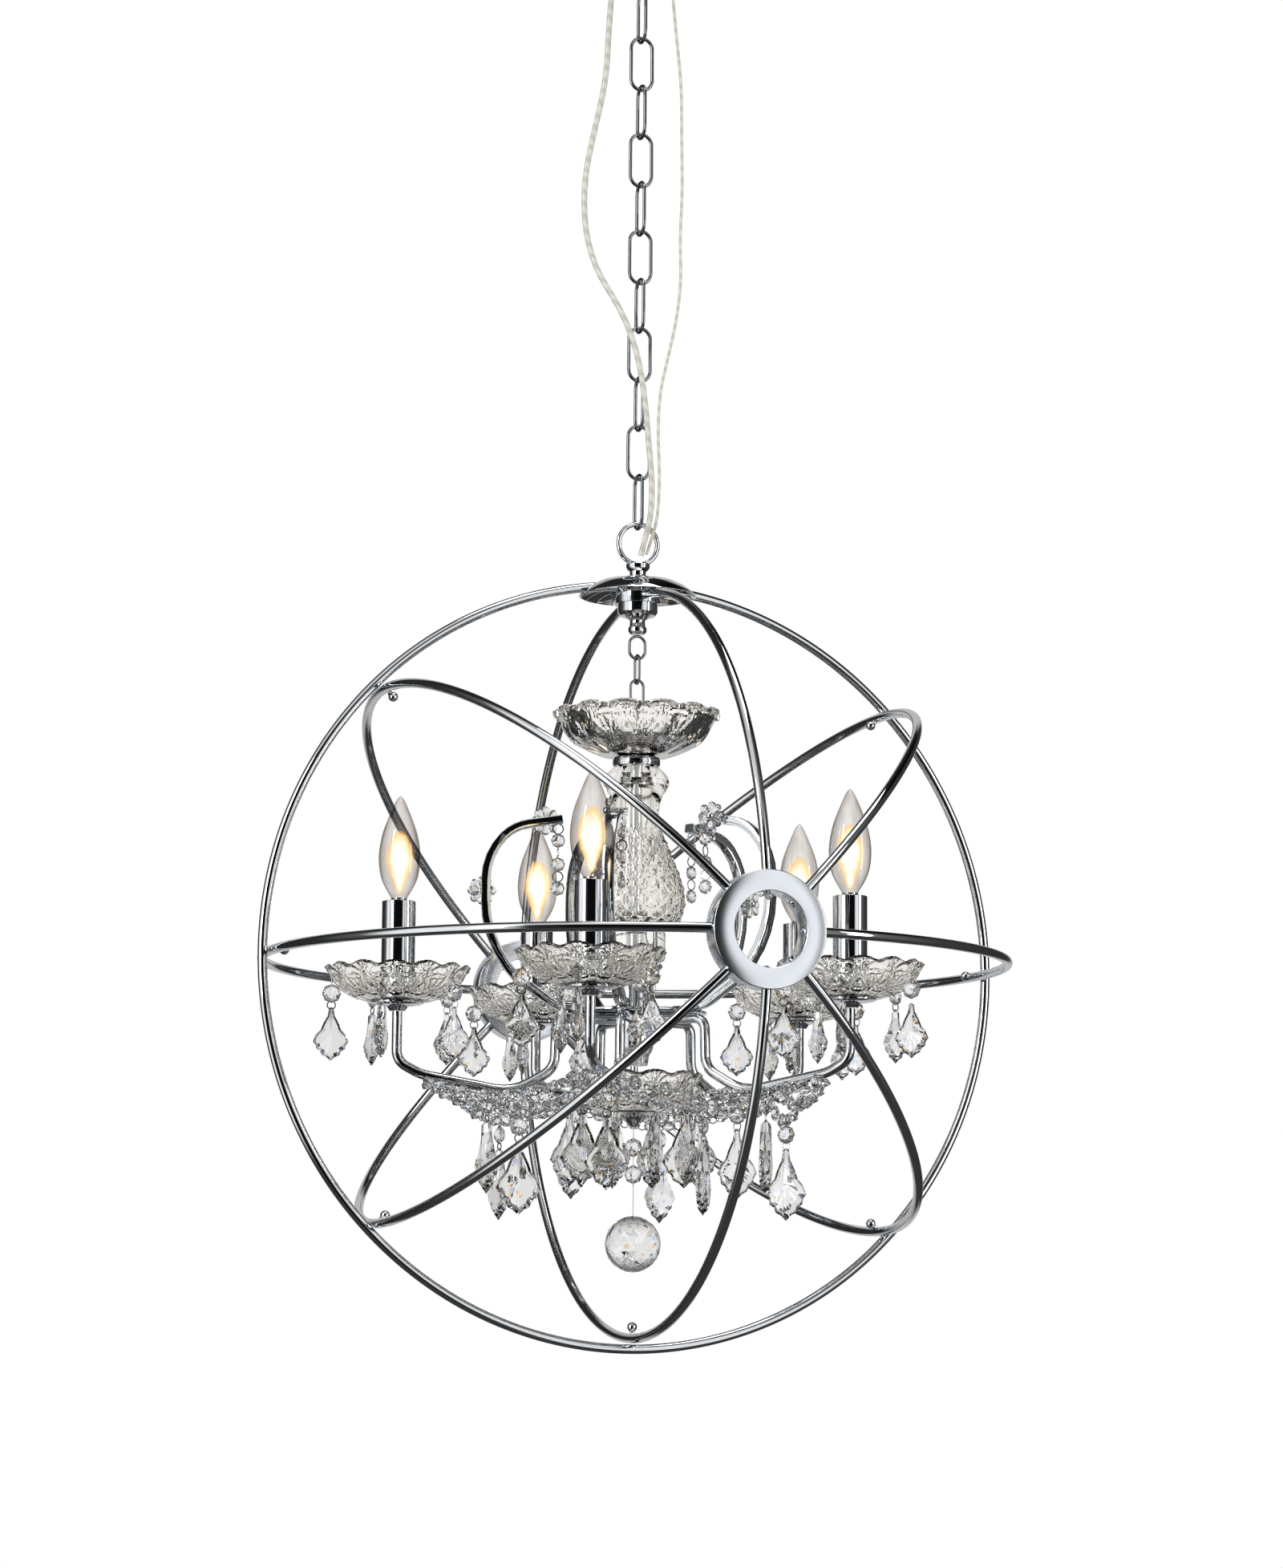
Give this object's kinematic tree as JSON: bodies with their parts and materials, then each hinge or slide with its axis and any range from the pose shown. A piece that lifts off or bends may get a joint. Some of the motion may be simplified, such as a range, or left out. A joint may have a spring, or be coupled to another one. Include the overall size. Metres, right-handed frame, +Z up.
{
  "type": "orb chandelier",
  "caption": "Orb chandelier: a cage of polished hoops on a chain around a crystal cluster with curved arms, candle bulbs in glass dishes, swags and drops.",
  "frame": {"origin": "middle of the ceiling strap's top face, against the ceiling", "axes": "+Z up into the ceiling, -Y towards the front ring hub, +X to the right seen from the front"},
  "size_m": [0.6092, 0.5994, 1.1705],
  "materials": {
    "chrome": "mirror polished chrome plate",
    "hub_steel": "polished with a pale face",
    "steel": "zinc plated strap",
    "clear_glass": "clear pressed glass",
    "crystal": "cut clear crystal",
    "lit_bulb": "clear lamp glass, lit warm",
    "candle_sleeve": "polished sleeve",
    "holder_plastic": "black moulded socket",
    "clear_cord": "clear sheath over fine wire"
  },
  "bodies": {
    "ceiling": {"ceiling_strap": "steel", "canopy": "chrome", "canopy_nuts": "chrome", "canopy_loop": "chrome"},
    "chain": {"chain_links": "chrome", "power_cord": "clear_cord", "ground_wire": "clear_cord"},
    "end_link": {"chain_end_link": "chrome"},
    "cage": {"cage_loop": "chrome", "cage_cap": "chrome", "top_block": "chrome", "outer_ring": "chrome", "vertical_hoops": "chrome", "level_hoops": "chrome", "rising_hoops": "chrome", "falling_hoops": "chrome", "front_hub": "hub_steel", "back_hub": "hub_steel", "cage_fasteners": "chrome", "cluster_hook": "chrome"},
    "inner_chain": {"inner_links": "chrome"},
    "cluster": {"cluster_bail": "chrome", "top_dish": "clear_glass", "seat_ring": "chrome", "column_tube": "chrome", "glass_column": "clear_glass", "glass_collar": "clear_glass", "arm_hub": "chrome", "lower_dish": "clear_glass", "lower_finial": "chrome", "arm_1": "chrome", "arm_2": "chrome", "arm_3": "chrome", "arm_4": "chrome", "arm_5": "chrome", "bobeche_1": "clear_glass", "bobeche_2": "clear_glass", "bobeche_3": "clear_glass", "bobeche_4": "clear_glass", "bobeche_5": "clear_glass", "scrolls": "chrome", "arm_cups": "chrome", "candle_sleeves": "candle_sleeve", "lampholders": "holder_plastic", "rim_pendants": "crystal", "swags": "crystal", "large_pendants": "crystal", "scroll_crystals": "crystal"},
    "ball": {"ball_strand": "crystal", "crystal_ball": "crystal"},
    "bulb_1": {"bulb_1": "lit_bulb"},
    "pendant_1": {"outer_pendant_1": "crystal"},
    "bulb_2": {"bulb_2": "lit_bulb"},
    "pendant_2": {"outer_pendant_2": "crystal"},
    "bulb_3": {"bulb_3": "lit_bulb"},
    "pendant_3": {"outer_pendant_3": "crystal"},
    "bulb_4": {"bulb_4": "lit_bulb"},
    "pendant_4": {"outer_pendant_4": "crystal"},
    "bulb_5": {"bulb_5": "lit_bulb"},
    "pendant_5": {"outer_pendant_5": "crystal"}
  },
  "joints": [
    {"name": "chain_swing", "type": "hinge", "parent": "ceiling", "child": "chain", "pos_m": [0, 0, -0.07425], "axis": [1, 0, 0], "range_deg": [-15, 15]},
    {"name": "end_link_swing", "type": "hinge", "parent": "chain", "child": "end_link", "pos_m": [0, 0, -0.4734], "axis": [0, 1, 0], "range_deg": [-3, 3]},
    {"name": "cage_swing", "type": "hinge", "parent": "end_link", "child": "cage", "pos_m": [0, 0, -0.51315], "axis": [1, 0, 0], "range_deg": [-4, 4]},
    {"name": "inner_chain_swing", "type": "hinge", "parent": "cage", "child": "inner_chain", "pos_m": [0, 0, -0.6224], "axis": [1, 0, 0], "range_deg": [-3, 3]},
    {"name": "cluster_swing", "type": "hinge", "parent": "inner_chain", "child": "cluster", "pos_m": [0, 0, -0.65991], "axis": [0, 1, 0], "range_deg": [-3, 3]},
    {"name": "ball_swing", "type": "hinge", "parent": "cluster", "child": "ball", "pos_m": [0, 0, -0.9951], "axis": [1, 0, 0], "range_deg": [-15, 15]},
    {"name": "bulb_lift_1", "type": "slide", "parent": "cluster", "child": "bulb_1", "axis": [0, 0, 1], "range_m": [0, 0.03]},
    {"name": "pendant_swing_1", "type": "hinge", "parent": "cluster", "child": "pendant_1", "pos_m": [-0.23396, 0.04632, -0.87786], "axis": [-0.981, 0.1942, 0], "range_deg": [-15, 15]},
    {"name": "bulb_lift_2", "type": "slide", "parent": "cluster", "child": "bulb_2", "axis": [0, 0, 1], "range_m": [0, 0.03]},
    {"name": "pendant_swing_2", "type": "hinge", "parent": "cluster", "child": "pendant_2", "pos_m": [-0.11635, -0.20819, -0.87786], "axis": [-0.4879, -0.8729, 0], "range_deg": [-15, 15]},
    {"name": "bulb_lift_3", "type": "slide", "parent": "cluster", "child": "bulb_3", "axis": [0, 0, 1], "range_m": [0, 0.03]},
    {"name": "pendant_swing_3", "type": "hinge", "parent": "cluster", "child": "pendant_3", "pos_m": [0.16205, -0.17499, -0.87786], "axis": [0.6794, -0.7337, 0], "range_deg": [-15, 15]},
    {"name": "bulb_lift_4", "type": "slide", "parent": "cluster", "child": "bulb_4", "axis": [0, 0, 1], "range_m": [0, 0.03]},
    {"name": "pendant_swing_4", "type": "hinge", "parent": "cluster", "child": "pendant_4", "pos_m": [0.2165, 0.10004, -0.87786], "axis": [0.9078, 0.4195, 0], "range_deg": [-15, 15]},
    {"name": "bulb_lift_5", "type": "slide", "parent": "cluster", "child": "bulb_5", "axis": [0, 0, 1], "range_m": [0, 0.03]},
    {"name": "pendant_swing_5", "type": "hinge", "parent": "cluster", "child": "pendant_5", "pos_m": [-0.02824, 0.23682, -0.87786], "axis": [-0.1184, 0.993, 0], "range_deg": [-15, 15]}
  ]
}
